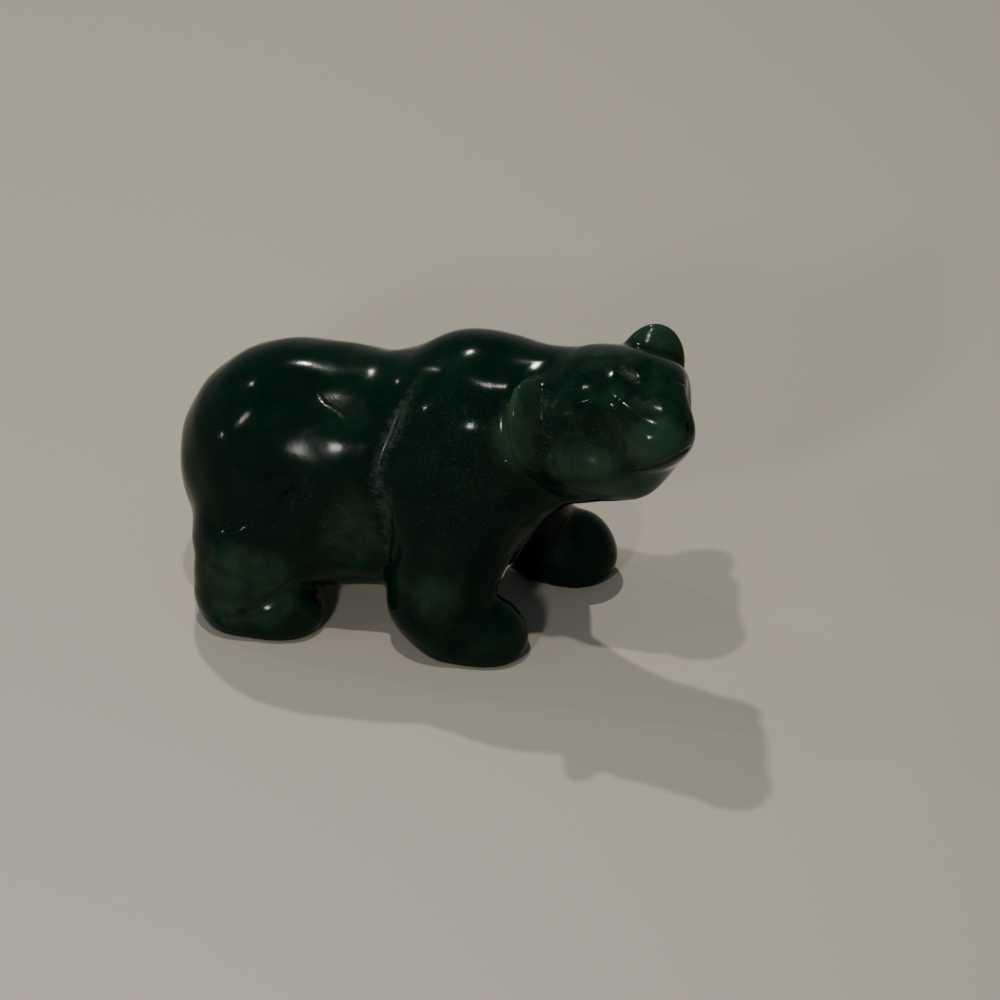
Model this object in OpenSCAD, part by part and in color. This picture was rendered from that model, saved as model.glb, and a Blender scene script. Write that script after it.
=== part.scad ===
// Standing bear figurine: a solid carving in one dark green stone.
//
// +X is the way the body faces, +Y is the bear's left and +Z is up. The origin lies on the
// ground under the middle of the figurine's box. Lengths are in mm and angles in degrees.
//
// The trunk, the legs and the head are chains of ellipsoids on smooth curves. The stone is
// divided along the carved folds into closed solids that meet face to face: what a limb
// shares with the trunk belongs to the trunk, and what a feature of the face shares with
// the head belongs to the head.

/* [Trunk] */
// Length of the trunk from the rump to the front of the chest
trunk_length = 37.6; // [35:0.2:40]
// Width of the trunk at the hips
trunk_width = 20.8; // [19:0.2:22]
// Height of the middle of the back above the ground
back_height = 27.6; // [26.4:0.2:28.6]
// Height of the top of the shoulder hump above the ground
hump_height = 31; // [30:0.2:32]
// Clearance under the middle of the belly
belly_clearance = 4.4; // [3.8:0.2:5]
// Length of the tail's root to tip, along the body
tail_length = 4.4; // [3.8:0.2:5]

/* [Head] */
// Angle that the head is turned to the bear's right
head_turn = 48; // [40:1:54]
// Angle that the head is raised
head_raise = 12; // [8:1:16]
// Width of the skull at the cheeks
head_width = 14.6; // [13.6:0.2:15.6]
// Length of the skull without the muzzle
head_length = 14.4; // [13.6:0.2:15.4]
// Width of the muzzle
muzzle_width = 7.8; // [7:0.2:8.6]
// How far the muzzle stands out from the middle of the skull
muzzle_reach = 10.4; // [9.8:0.2:11]
// Height of an ear's flap
ear_height = 7.8; // [7:0.2:8.6]
// Width of an ear's flap
ear_width = 6.4; // [5.8:0.2:7]
// Thickness of an ear's flap
ear_thickness = 2.9; // [2.4:0.1:3.4]

/* [Legs] */
// Distance between the middles of the left and the right paws
paw_track = 15.2; // [14.4:0.2:16]
// Width of a paw
paw_width = 7.8; // [7:0.2:8.4]
// Height of a paw at the toes
paw_height = 5.6; // [5:0.2:6.2]
// How far the left fore paw is stepped ahead of the right one
fore_stride = 5.8; // [4:0.2:6.4]
// How far the left hind paw is stepped ahead of the right one
hind_stride = 1.2; // [0:0.2:2]

/* [Carving] */
// Radius of the cutter that draws the mouth and the eyes
line_cutter = 0.35; // [0.25:0.05:0.5]
// Radius of the burr that cuts the folds round the shoulder and behind the ears
fold_cutter = 1.1; // [0.8:0.1:1.3]
// Depth of the burr in the stone
fold_depth = 0.45; // [0.3:0.05:0.6]

/* [Smoothness] */
// Facets round the large ellipsoids
large_facets = 32; // [24:4:36]
// Facets round the small ellipsoids
small_facets = 24; // [20:4:28]

/* [Hidden] */

STONE = "#16382c";
STONE_LIGHT = "#2b5644";

LEFT = 1;
RIGHT = -1;

// Steps between two stations of a chain
STEPS = 3;
// Facets round the cutters
CUTTER_FACETS = 12;
// Larger than the figurine every way
ROOM = 80;

// Middle of the box in the coordinates of the stations below
middle_x = 2.285;
middle_y = 0;

// Places of the stations along the body
rump_x = 1.6 - trunk_length / 2;
barrel_x = -3.2;
shoulder_x = 4.6;
chest_x = trunk_length / 2 - 11;
half_width = trunk_width / 2;
belly_z = belly_clearance;
barrel_z = (back_height + belly_z) / 2;
shoulder_bottom = belly_z + 0.8;
shoulder_z = (hump_height + shoulder_bottom) / 2;

// The trunk is cut behind the flank and behind the shoulder
flank_cut_x = -8.6;
shoulder_cut_x = -0.4;
shoulder_cut_lean = -18;
cut_z = 15;

// Each station holds a middle (x, y, z) and the half axes (x, y, z) of an ellipsoid
trunk_stations = [
    [rump_x, 0, 14.2, 7.6, half_width - 0.9, 11.2],
    [rump_x + 4.4, 0, 14.7, 7.2, half_width, 12.4],
    [barrel_x, 0, barrel_z, 6.2, half_width - 0.5, (back_height - belly_z) / 2],
    [shoulder_x, 0, shoulder_z, 6.0, half_width - 1, (hump_height - shoulder_bottom) / 2],
    [chest_x, 0, 18.6, 5.4, half_width - 2.2, 10.6],
];
neck_stations = [
    [chest_x - 1, 0, 21.4, 7.6, 7.0, 8.0],
    [12, -0.9, 23.4, 6.0, 5.6, 6.8],
    [16.8, -2.2, 25.6, 5.4, 5.2, 5.8],
];
throat_stations = [
    [11.0, -0.7, 18.5, 4.6, 4.6, 4.6],
    [17.0, -3.6, 20.6, 4.1, 4.1, 4.0],
    [21.2, -5.8, 22.6, 3.6, 3.6, 3.4],
];
tail_root = -20.1;
tail_stations = [
    [tail_root, 0, 6.8, 2.0, 2.0, 2.6],
    [tail_root - tail_length + 1.6, 0, 5.5, 1.6, 1.8, 1.8],
];

// The head's own coordinates: +X to the nose, +Y to its left, +Z to the crown
head_at = [21, -3.2, 27.3];
skull = [head_length / 2, head_width / 2, 5.6];
head_stations = [
    [-0.6, -0.2, 0.3, skull.x, skull.y, skull.z],
    [-0.5, -0.6, -1.8, skull.x - 0.6, skull.y, 5.4],
    [-0.4, -0.9, -3.4, skull.x - 1.4, skull.y - 0.3, 4.8],
];
// The right temple stands out towards the ear, and the left cheek fills the turn of the brow
temple = [-2.4, 0.9 - skull.y, -0.8, 3.4, 3.2, 4.8];
brow = [2.0, 3.0, 0.0, 4.0, 3.5, 3.6];

muzzle_tip = 2.9;
muzzle_stations = [
    [3.6, 0, -1.0, 4.2, muzzle_width / 2 + 0.5, 3.9],
    [muzzle_reach - muzzle_tip, 0, -0.5, muzzle_tip, muzzle_width / 2 - 0.2, 2.9],
];
jaw_stations = [
    [0.6, -0.3, -6.2, 4.6, muzzle_width / 2 + 0.8, 2.9],
    [muzzle_reach - muzzle_tip - 1.5, -0.1, -3.6, 2.3, muzzle_width / 2 - 0.9, 1.6],
];
ear_splay = 30;

// Legs, from the trunk to the toes. The y value is the distance out from the middle
track = paw_track / 2;
paw_half = paw_width / 2;
toe_z = paw_height - 3.2;
ankle_z = 5.4;
fore_leg_stations = [
    [3.8, track - 1.1, 13.4, 6.2, 5.0, 7.8],
    [3.5, track - 0.5, 8.2, 5.8, 5.1, 4.8],
    [4.2, track, 4.2, 5.3, paw_half + 0.9, 4.3],
    [8.2, track + 0.1, toe_z, 4.1, paw_half + 0.1, 3.3],
];
hind_leg_stations = [
    [-15.0, track - 2.0, 10.6, 7.2, 5.7, 8.2],
    [-17.0, track - 0.9, 6.8, 5.6, 5.3, 5.2],
    [-17.4, track - 0.2, 3.5, 4.9, paw_half + 0.7, 4.3],
    [-13.4, track, toe_z, 4.2, paw_half + 0.1, 3.3],
];

function moved(stations, side, ahead) = [
    for (i = [0 : len(stations) - 1])
        let (s = stations[i], share = i / (len(stations) - 1))
            [s[0] + ahead * sqrt(share), side * s[1], s[2], s[3], s[4], s[5]]
];

// A Catmull-Rom curve through the stations, from station i to station i + 1
function between(s, i, t) =
    let (
        a = s[max(i - 1, 0)],
        b = s[i],
        c = s[i + 1],
        d = s[min(i + 2, len(s) - 1)]
    )
        (2 * b + (c - a) * t + (2 * a - 5 * b + 4 * c - d) * t ^ 2 + (3 * b - a - 3 * c + d) * t ^ 3) / 2;

function refined(s) = [
    for (i = [0 : len(s) - 2], k = [0 : STEPS - 1]) between(s, i, k / STEPS),
    s[len(s) - 1],
];

module ellipsoid(station, facets) {
    translate([station[0], station[1], station[2]])
        scale([station[3], station[4], station[5]])
            sphere(r = 1, $fn = facets);
}

module chain(stations, facets) {
    s = refined(stations);
    for (i = [0 : len(s) - 2])
        hull() {
            ellipsoid(s[i], facets);
            ellipsoid(s[i + 1], facets);
        }
}

// A round cutter drawn along a list of points
module cut_along(points, radius) {
    for (i = [0 : len(points) - 2])
        hull() {
            translate(points[i])
                sphere(r = radius, $fn = CUTTER_FACETS);
            translate(points[i + 1])
                sphere(r = radius, $fn = CUTTER_FACETS);
        }
}

// A burr carried down both flanks, just behind the plane of the shoulder cut
fold_arc = [24 : 13 : 89];
fold_behind = 0.3;

module shoulder_fold() {
    out = half_width - 0.4 + fold_cutter - fold_depth;
    up = back_height - cut_z + 0.5 + fold_cutter - fold_depth;
    translate([shoulder_cut_x, 0, cut_z])
        rotate([0, shoulder_cut_lean, 0])
            for (side = [LEFT, RIGHT])
                cut_along([for (a = fold_arc) [-fold_behind, side * out * sin(a), up * cos(a)]], fold_cutter);
}

module trunk() {
    chain(trunk_stations, large_facets);
}

module ahead_of(x, lean) {
    translate([x, 0, cut_z])
        rotate([0, lean, 0])
            translate([0, -ROOM / 2, -ROOM / 2])
                cube(ROOM);
}

module under_ground() {
    translate([-ROOM / 2, -ROOM / 2, -ROOM])
        cube(ROOM);
}

module centred() {
    translate([-middle_x, -middle_y, 0])
        children();
}

module rump() {
    color(STONE)
        centred()
            difference() {
                trunk();
                ahead_of(flank_cut_x, 0);
            }
}

module barrel() {
    color(STONE)
        centred()
            difference() {
                intersection() {
                    trunk();
                    ahead_of(flank_cut_x, 0);
                }
                ahead_of(shoulder_cut_x, shoulder_cut_lean);
                shoulder_fold();
            }
}

module shoulders() {
    color(STONE)
        centred()
            difference() {
                intersection() {
                    trunk();
                    ahead_of(shoulder_cut_x, shoulder_cut_lean);
                }
                shoulder_fold();
            }
}

module neck_mass() {
    chain(neck_stations, large_facets);
    chain(throat_stations, small_facets);
}

module neck() {
    color(STONE)
        centred()
            difference() {
                neck_mass();
                trunk();
                on_head() {
                    head_mass();
                    muzzle_mass();
                    neck_fold();
                }
            }
}

module tail() {
    color(STONE_LIGHT)
        centred()
            difference() {
                chain(tail_stations, small_facets);
                trunk();
            }
}

module on_head() {
    translate(head_at)
        rotate([0, -head_raise, -head_turn])
            children();
}

module head_mass() {
    chain(head_stations, large_facets);
    ellipsoid(temple, small_facets);
    ellipsoid(brow, small_facets);
}

// The fold that parts the head from the neck, on its right side and under the ear
module neck_fold() {
    cut_along([[-7.6, -5.2, 5.2], [-6.8, -8.2, 1.4], [-6.4, -8.6, -2.6], [-4.4, -8.4, -6.2]], fold_cutter);
}

// The burr's mark between an ear and the cheek
module ear_fold(side) {
    y = side * (skull.y + fold_cutter - fold_depth);
    cut_along([[-0.6, y * 0.88, 3.2], [-0.4, y, 0.4], [0.2, y * 0.97, -2.6]], fold_cutter);
}

module eye(side) {
    cut_along([[3.6, side * 6.0, 1.3], [4.7, side * 4.9, 2.8], [5.3, side * 3.4, 3.6]], line_cutter);
}

module mouth() {
    front = muzzle_reach - 0.6;
    half = muzzle_width / 2;
    cut_along(
        [
            [6.0, -half - 0.1, -3.4],
            [8.4, -half * 0.76, -2.6],
            [front, 0, -2.2],
            [8.4, half * 0.76, -2.6],
            [6.0, half + 0.1, -3.4],
        ],
        line_cutter
    );
}

module nostril(side) {
    cut_along([[muzzle_reach - 0.5, side * 0.9, 0.9], [muzzle_reach - 0.9, side * 1.5, 1.5]], line_cutter);
}

module head() {
    color(STONE)
        centred()
            difference() {
                on_head() head_mass();
                trunk();
                on_head() {
                    ear_fold(RIGHT);
                    ear_fold(LEFT);
                    eye(RIGHT);
                    eye(LEFT);
                    neck_fold();
                }
            }
}

module muzzle_mass() {
    chain(muzzle_stations, small_facets);
}

module muzzle() {
    color(STONE_LIGHT)
        centred()
            on_head()
                difference() {
                    muzzle_mass();
                    head_mass();
                    mouth();
                    nostril(RIGHT);
                    nostril(LEFT);
                }
}

module lower_jaw() {
    color(STONE_LIGHT)
        centred()
            difference() {
                on_head()
                    difference() {
                        chain(jaw_stations, small_facets);
                        head_mass();
                        muzzle_mass();
                        mouth();
                    }
                neck_mass();
                trunk();
            }
}

module ear(side, at, lean) {
    color(STONE_LIGHT)
        centred()
            on_head()
                difference() {
                    translate(at)
                        rotate([0, 0, side * ear_splay])
                            rotate([side * lean, 0, 0])
                                scale([ear_thickness / 2, ear_width / 2, ear_height / 2])
                                    sphere(r = 1, $fn = large_facets);
                    head_mass();
                    neck_fold();
                    ear_fold(side);
                }
}

// The right ear lies lower and flatter than the left one
module ear_right() {
    ear(RIGHT, [-3.4, -skull.y - 1.9, 0.4], -8);
}

module ear_left() {
    ear(LEFT, [-3.8, skull.y - 1.4, 3.0], 15);
}

module leg_mass(stations, side, ahead) {
    difference() {
        chain(moved(stations, side, ahead), small_facets);
        under_ground();
    }
}

module above(z) {
    translate([-ROOM / 2, -ROOM / 2, z])
        cube(ROOM);
}

module leg(stations, side, ahead) {
    color(STONE_LIGHT)
        centred()
            difference() {
                intersection() {
                    leg_mass(stations, side, ahead);
                    above(ankle_z);
                }
                trunk();
                neck_mass();
            }
}

module paw(stations, side, ahead) {
    color(STONE)
        centred()
            difference() {
                leg_mass(stations, side, ahead);
                above(ankle_z);
                trunk();
            }
}

module fore_leg_right() {
    leg(fore_leg_stations, RIGHT, 0);
}

module fore_leg_left() {
    leg(fore_leg_stations, LEFT, fore_stride);
}

module hind_leg_right() {
    leg(hind_leg_stations, RIGHT, 0);
}

module hind_leg_left() {
    leg(hind_leg_stations, LEFT, hind_stride);
}

module fore_paw_right() {
    paw(fore_leg_stations, RIGHT, 0);
}

module fore_paw_left() {
    paw(fore_leg_stations, LEFT, fore_stride);
}

module hind_paw_right() {
    paw(hind_leg_stations, RIGHT, 0);
}

module hind_paw_left() {
    paw(hind_leg_stations, LEFT, hind_stride);
}

rump();
barrel();
shoulders();
neck();
tail();
head();
muzzle();
lower_jaw();
ear_right();
ear_left();
fore_leg_right();
fore_leg_left();
hind_leg_right();
hind_leg_left();
fore_paw_right();
fore_paw_left();
hind_paw_right();
hind_paw_left();
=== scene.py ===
"""A walking bear, carved from one piece of dark green nephrite and polished.

The bear is worked out as one field, negative inside the stone, from rounded masses that melt into each
other and from the carver's cuts. A lattice of samples of that field is turned into closed pieces, one for
each named region of the stone, which meet along the carver's creases. Lengths in the carving are
millimetres, and those in the finish and in the studio are metres.
"""
import logging
import math
from dataclasses import dataclass, field
from enum import Enum
from functools import cache
from typing import Iterable, Optional, Union

import bpy
import numpy as np
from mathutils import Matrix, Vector


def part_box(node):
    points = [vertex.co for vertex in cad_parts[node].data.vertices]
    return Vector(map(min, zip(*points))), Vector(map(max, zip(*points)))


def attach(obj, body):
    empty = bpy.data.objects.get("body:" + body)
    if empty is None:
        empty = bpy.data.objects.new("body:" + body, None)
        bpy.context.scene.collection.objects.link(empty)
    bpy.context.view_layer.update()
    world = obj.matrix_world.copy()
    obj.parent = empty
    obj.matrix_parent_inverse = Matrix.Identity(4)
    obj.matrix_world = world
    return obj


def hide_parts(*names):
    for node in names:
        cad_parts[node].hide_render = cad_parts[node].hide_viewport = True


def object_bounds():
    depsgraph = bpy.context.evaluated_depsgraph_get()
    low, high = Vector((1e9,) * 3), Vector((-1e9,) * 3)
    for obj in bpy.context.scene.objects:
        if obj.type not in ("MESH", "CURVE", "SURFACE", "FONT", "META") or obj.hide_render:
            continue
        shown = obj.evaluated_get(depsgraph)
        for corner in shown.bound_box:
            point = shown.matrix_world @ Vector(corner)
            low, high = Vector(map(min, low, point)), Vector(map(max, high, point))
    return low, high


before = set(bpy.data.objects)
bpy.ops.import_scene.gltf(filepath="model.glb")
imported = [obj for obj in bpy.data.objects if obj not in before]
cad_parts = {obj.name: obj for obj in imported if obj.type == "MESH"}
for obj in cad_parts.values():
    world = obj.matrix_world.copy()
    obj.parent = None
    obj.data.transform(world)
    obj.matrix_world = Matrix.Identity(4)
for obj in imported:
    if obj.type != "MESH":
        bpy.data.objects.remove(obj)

CAD_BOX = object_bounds()
LOG = logging.getLogger("bear")
METRES = 0.001
BODY = "root"
NORMAL_STEP = 0.04
FULL_SPACING = 0.2
TINY = 1e-6
FAR = np.float32(1e3)

Array = np.ndarray
Vec3 = tuple[float, float, float]


# ---------------------------------------------------------------- shapes of the field

def melt(a: Array, b: Array, blend: float) -> Array:
    """The lesser of two distances, less up to a quarter of the blend where they are nearly equal."""
    near = np.maximum(blend - np.abs(a - b), 0.0) / blend
    return np.minimum(a, b) - near * near * (0.25 * blend)


def pare(a: Array, b: Array, blend: float) -> Array:
    """Keeps what is inside both distances, with the edge between them rounded over the blend."""
    return -melt(-a, -b, blend)


def ease(value: Array, low: float, high: float) -> Array:
    """0 below low, 1 above high, and 3t^2 - 2t^3 between them."""
    t = np.clip((value - low) / (high - low), 0.0, 1.0)
    return t * t * (3.0 - 2.0 * t)


def column(point: Iterable[float]) -> Array:
    """A point as a 3 by 1 array, to add to a 3 by N array of points."""
    return np.asarray(tuple(point), np.float32).reshape(3, 1)


def turned(yaw: float = 0.0, pitch: float = 0.0, roll: float = 0.0) -> Array:
    """Axes of a frame: rolled about +X, then lifted at the nose by pitch, then turned by yaw about +Z.

    Args:
        yaw: degrees about +Z.
        pitch: degrees that the nose is lifted.
        roll: degrees about +X.
    Returns:
        The axes as the columns of a 3 by 3 array.
    """
    y, p, r = np.radians([yaw, pitch, roll])
    about_x = np.array([[1, 0, 0], [0, np.cos(r), -np.sin(r)], [0, np.sin(r), np.cos(r)]])
    about_y = np.array([[np.cos(p), 0, -np.sin(p)], [0, 1, 0], [np.sin(p), 0, np.cos(p)]])
    about_z = np.array([[np.cos(y), -np.sin(y), 0], [np.sin(y), np.cos(y), 0], [0, 0, 1]])
    return (about_z @ about_y @ about_x).astype(np.float32)


@dataclass(frozen=True)
class Lump:
    """An ellipsoid: centre, three radii, and the yaw, pitch and roll of its axes in degrees."""
    centre: Vec3
    radii: Vec3
    turn: Vec3 = (0.0, 0.0, 0.0)

    def away(self, at: Array) -> Array:
        """Distance from the ellipsoid, k(k - 1)/g, where k is the scaled radius and g its gradient's length.

        Args:
            at: points, 3 by N.
        Returns:
            N distances, negative inside.
        """
        q = at - column(self.centre)
        if any(self.turn):
            q = turned(*self.turn).T @ q
        q = q / column(self.radii)
        k = np.sqrt((q * q).sum(0))
        q = q / column(self.radii)
        return k * (k - 1.0) / np.maximum(np.sqrt((q * q).sum(0)), TINY)


@dataclass(frozen=True)
class Bone:
    """A round cone: a ball carried from start to end while its radius changes evenly."""
    start: Vec3
    end: Vec3
    start_radius: float
    end_radius: float

    def away(self, at: Array) -> Array:
        """Distance from the axis at the nearest point of it, less the radius there.

        Args:
            at: points, 3 by N.
        Returns:
            N distances, negative inside.
        """
        axis = column(self.end) - column(self.start)
        q = at - column(self.start)
        t = np.clip((q * axis).sum(0) / float((axis * axis).sum()), 0.0, 1.0)
        q = q - t * axis
        return np.sqrt((q * q).sum(0)) - (self.start_radius + (self.end_radius - self.start_radius) * t)


class Profile(Enum):
    """Section of a carved line."""
    BELL = "round bottomed"
    VEE = "sharp bottomed"


@dataclass(frozen=True)
class Line:
    """A line cut into the skin along a smooth route, or raised on it where its depth is negative."""
    route: tuple[Vec3, ...]
    half_width: float
    depth: float
    frost: float = 0.0
    profile: Profile = Profile.BELL
    frost_spread: float = 1.5
    steps: int = 5
    reach_widths: float = 3.0
    end_taper: float = 1.6
    vee_slope: float = 0.55

    def points(self) -> Array:
        """The route as a Catmull-Rom curve, whose end tangents come from its end spans.

        Returns:
            Points along the curve, N by 3, with steps of them to a span.
        """
        p = np.asarray(self.route, float)
        p = np.vstack([2 * p[0] - p[1], p, 2 * p[-1] - p[-2]])
        t = np.linspace(0.0, 1.0, self.steps, endpoint=False)[None, :, None]
        a, b, c, d = (p[i:len(p) - 3 + i][:, None, :] for i in range(4))
        square, cube = 2 * a - 5 * b + 4 * c - d, 3 * b - a - 3 * c + d
        curve = 0.5 * (2 * b + (c - a) * t + square * t**2 + cube * t**3)
        return np.vstack([curve.reshape(-1, 3), p[-2]]).astype(np.float32)

    def near(self, at: Array, reach: float) -> tuple[Array, Array]:
        """Distances from the route of the points that are within reach of its box.

        Args:
            at: points, 3 by N.
            reach: how far from the route's box a point may be.
        Returns:
            The indices of those points, and their distances from the route, drawn in towards its ends.
        """
        route = self.points()
        low, high = column(route.min(0)) - reach, column(route.max(0)) + reach
        picked = np.flatnonzero(((at > low) & (at < high)).all(0))
        q = at[:, picked]
        best = np.full(q.shape[1], FAR, np.float32)
        spans = len(route) - 1
        for i in range(spans):
            axis = column(route[i + 1]) - column(route[i])
            r = q - column(route[i])
            t = np.clip((r * axis).sum(0) / max(float((axis * axis).sum()), TINY), 0.0, 1.0)
            r = r - t * axis
            along = (i + t) / spans
            taper = 1.0 + self.end_taper * np.abs(2.0 * along - 1.0)**6
            best = np.minimum(best, np.sqrt((r * r).sum(0)) * taper)
        return picked, best

    def cut(self, at: Array, skin: Array) -> None:
        """Adds depth times a bell, exp(-u^2), or a vee, (1 - 0.55 u)^1.5, u being distance over half width.

        Args:
            at: points, 3 by N.
            skin: their distances from the skin, which are changed.
        """
        picked, away = self.near(at, self.reach_widths * self.half_width)
        u = away / self.half_width
        if self.profile is Profile.BELL:
            shape = np.exp(-u * u)
        else:
            shape = np.maximum(1.0 - self.vee_slope * u, 0.0)**1.5
        skin[picked] += self.depth * shape

    def dust(self, at: Array, frost: Array) -> None:
        """Raises the frost to that of the line, in a bell a little wider than the cut.

        Args:
            at: points, 3 by N.
            frost: their frost, which is changed.
        """
        if self.frost > 0.0:
            spread = self.frost_spread * self.half_width
            picked, away = self.near(at, self.reach_widths * spread)
            frost[picked] = np.maximum(frost[picked], self.frost * np.exp(-(away / spread)**2))


@dataclass(frozen=True)
class Dish:
    """A hollow ground into the skin by a round burr, or only frosted by it where blend is none."""
    burr: Lump
    blend: float
    frost: float = 0.0
    fade: float = 0.6

    def cut(self, at: Array, skin: Array) -> None:
        """Takes the burr's ellipsoid out of the stone, with the rim rounded over the blend."""
        if self.blend > 0.0:
            skin[:] = pare(skin, -self.burr.away(at), self.blend)

    def dust(self, at: Array, frost: Array) -> None:
        """Raises the frost inside the burr's ellipsoid, fading to none over the fade on each side of it.

        Args:
            at: points, 3 by N.
            frost: their frost, which is changed.
        """
        if self.frost > 0.0:
            inside = 1.0 - ease(self.burr.away(at), -self.fade, self.fade)
            frost[:] = np.maximum(frost, self.frost * inside)


Cut = Union[Line, Dish]


@cache
def corner_box(node: str) -> tuple[Array, Array]:
    """Lowest and highest corners of a CAD node in millimetres."""
    low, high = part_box(node)
    return np.array(low) / METRES, np.array(high) / METRES


def heart(node: str, offset: Vec3 = (0.0, 0.0, 0.0)) -> Vec3:
    """Middle of a CAD node's box, moved by an offset, in millimetres."""
    low, high = corner_box(node)
    return tuple(float(v) for v in (low + high) / 2 + np.array(offset))


# ---------------------------------------------------------------- sub-assemblies of the bear

class Side(Enum):
    """Side of the bear, as the sign of its +Y."""
    RIGHT = -1
    LEFT = 1


class End(Enum):
    """Which pair of legs."""
    FORE = "fore"
    HIND = "hind"


@dataclass
class Trunk:
    """Rump, barrel, shoulders, neck and tail: the back's line and the belly's arch."""
    rump_radii: Vec3 = (12.5, 10.6, 12.9)
    barrel_radii: Vec3 = (13.0, 9.9, 12.4)
    shoulder_radii: Vec3 = (8.4, 9.4, 12.6)
    hump_radii: Vec3 = (8.0, 6.4, 6.6)
    arch_radii: Vec3 = (7.7, 40.0, 5.6)
    hump_blend: float = 3.0
    throat_blend: float = 2.5
    loin_blend: float = 4.0
    shoulder_blend: float = 3.2
    neck_blend: float = 4.0
    arch_blend: float = 2.5
    rump_cut_x: float = -10.885
    shoulder_cut_x: float = 2.46
    shoulder_lean: float = -18.0
    lean_height: float = 15.0
    neck_yield: float = 0.8
    nodes: tuple[str, ...] = ("rump", "barrel", "shoulders", "neck", "tail")

    def masses(self, at: Array) -> dict[str, Array]:
        """Distances from the mass of each region of the trunk.

        Args:
            at: points, 3 by N.
        Returns:
            For each region, N distances, negative inside.
        """
        rump = Lump(heart("rump", (4.15, 0.0, 0.25)), self.rump_radii)
        barrel = Lump(heart("barrel", (-0.1, 0.0, -0.2)), self.barrel_radii)
        shoulder = Lump(heart("shoulders", (0.6, 0.0, -0.3)), self.shoulder_radii)
        hump = Lump(heart("shoulders", (0.6, 0.0, 6.1)), self.hump_radii)
        neck = Bone(heart("neck", (-9.33, 1.69, -1.33)), heart("neck", (0.97, 0.29, 3.27)), 8.0, 6.2)
        throat = Bone(heart("neck", (-5.33, 0.99, -4.23)), heart("neck", (5.37, -4.21, 0.27)), 4.6, 3.6)
        tail = Bone(heart("tail", (2.6, 0.0, 1.9)), heart("tail", (0.2, -0.3, 0.1)), 2.6, 1.7)
        return {
            "rump": rump.away(at),
            "barrel": barrel.away(at),
            "shoulders": melt(shoulder.away(at), hump.away(at), self.hump_blend),
            "neck": melt(neck.away(at), throat.away(at), self.throat_blend),
            "tail": tail.away(at),
        }

    def join(self, at: Array, mass: dict[str, Array]) -> Array:
        """One trunk from its masses, with the belly's arch taken out between the legs.

        Args:
            at: points, 3 by N.
            mass: distances from each region's mass.
        Returns:
            N distances from the trunk.
        """
        skin = melt(mass["rump"], mass["barrel"], self.loin_blend)
        skin = melt(skin, mass["shoulders"], self.shoulder_blend)
        skin = melt(skin, mass["neck"], self.neck_blend)
        arch = Lump(heart("barrel", (-0.9, 0.0, -17.4)), self.arch_radii)
        return pare(skin, -arch.away(at), self.arch_blend)

    def claims(self, at: Array, mass: dict[str, Array]) -> dict[str, Array]:
        """Where one region of the trunk gives way to the next: planes at the loins and behind the shoulders.

        Args:
            at: points, 3 by N.
            mass: distances from each region's mass.
        Returns:
            Each region's claim to the points, of which the least wins.
        """
        trunk = np.minimum(np.minimum(mass["rump"], mass["barrel"]), mass["shoulders"])
        lean = math.radians(self.shoulder_lean)
        shoulder_x = heart("barrel", (self.shoulder_cut_x, 0.0, 0.0))[0]
        ahead = (at[0] - shoulder_x) * math.cos(lean) + (at[2] - self.lean_height) * math.sin(lean)
        behind = self.rump_cut_x - at[0]
        return {
            "rump": np.where(behind > 0, trunk, FAR),
            "barrel": np.where((behind <= 0) & (ahead <= 0), trunk, FAR),
            "shoulders": np.where((ahead > 0) & (behind <= 0), trunk, FAR),
            "neck": mass["neck"] + self.neck_yield,
            "tail": mass["tail"],
        }

    def cuts(self) -> list[Cut]:
        """The carver's cuts on the trunk: the same folds on both sides, and one scratch on the right.

        Returns:
            The cuts, with every line's route given from the barrel's middle on the right side.
        """
        shoulder = ((2.9, -3.8, 13.4), (1.6, -6.5, 9.9), (0.0, -9.0, 5.6), (0.9, -9.8, 2.0),
                    (1.0, -9.7, -4.5))
        haunch = ((-19.2, -5.4, -6.4), (-17.6, -7.4, -5.2), (-14.2, -9.7, -2.2), (-9.8, -10.3, 0.3),
                  (-8.2, -9.9, 2.8))
        flank = ((-7.9, -9.8, 4.4), (-5.6, -10.5, 0.2), (-4.9, -10.2, -4.2), (-5.3, -9.8, -7.5))
        hock = ((-16.0, -11.2, -12.6), (-14.2, -11.5, -12.3), (-10.2, -10.6, -10.0), (-8.1, -9.8, -7.7))
        heel = ((-20.1, -2.5, -10.3), (-19.5, -6.0, -8.7), (-18.5, -9.0, -6.7), (-16.9, -10.6, -5.2))
        scratch = ((-7.0, -4.9, 11.2), (-5.9, -5.8, 10.5), (-4.6, -6.2, 10.1), (-3.0, -7.2, 9.1))
        made: list[Cut] = []
        for side in Side:
            y = side.value
            belly = Lump(heart("barrel", (-2.2, 12.8 * y, -2.0)), (4.8, 3.4, 6.4))
            blade = Lump(heart("shoulders", (2.6, 9.0 * y, 4.0)), (6.0, 6.0, 10.0))
            made += [
                Line(self.mirrored(shoulder, side), half_width=0.8, depth=0.4, frost=0.6),
                Line(self.mirrored(haunch, side), half_width=0.9, depth=0.5, frost=0.2),
                Line(self.mirrored(flank, side), half_width=1.0, depth=0.4, frost=0.2),
                Line(self.mirrored(hock, side), half_width=0.6, depth=0.22, frost=0.35),
                Line(self.mirrored(heel, side), half_width=1.4, depth=0.3, frost=0.1),
                Dish(belly, blend=1.8, frost=0.4, fade=1.2),
                Dish(blade, blend=0.0, frost=0.2, fade=2.5),
            ]
        made.append(Line(self.mirrored(scratch, Side.RIGHT), half_width=0.16, depth=0.012, frost=0.45))
        return made

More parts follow.
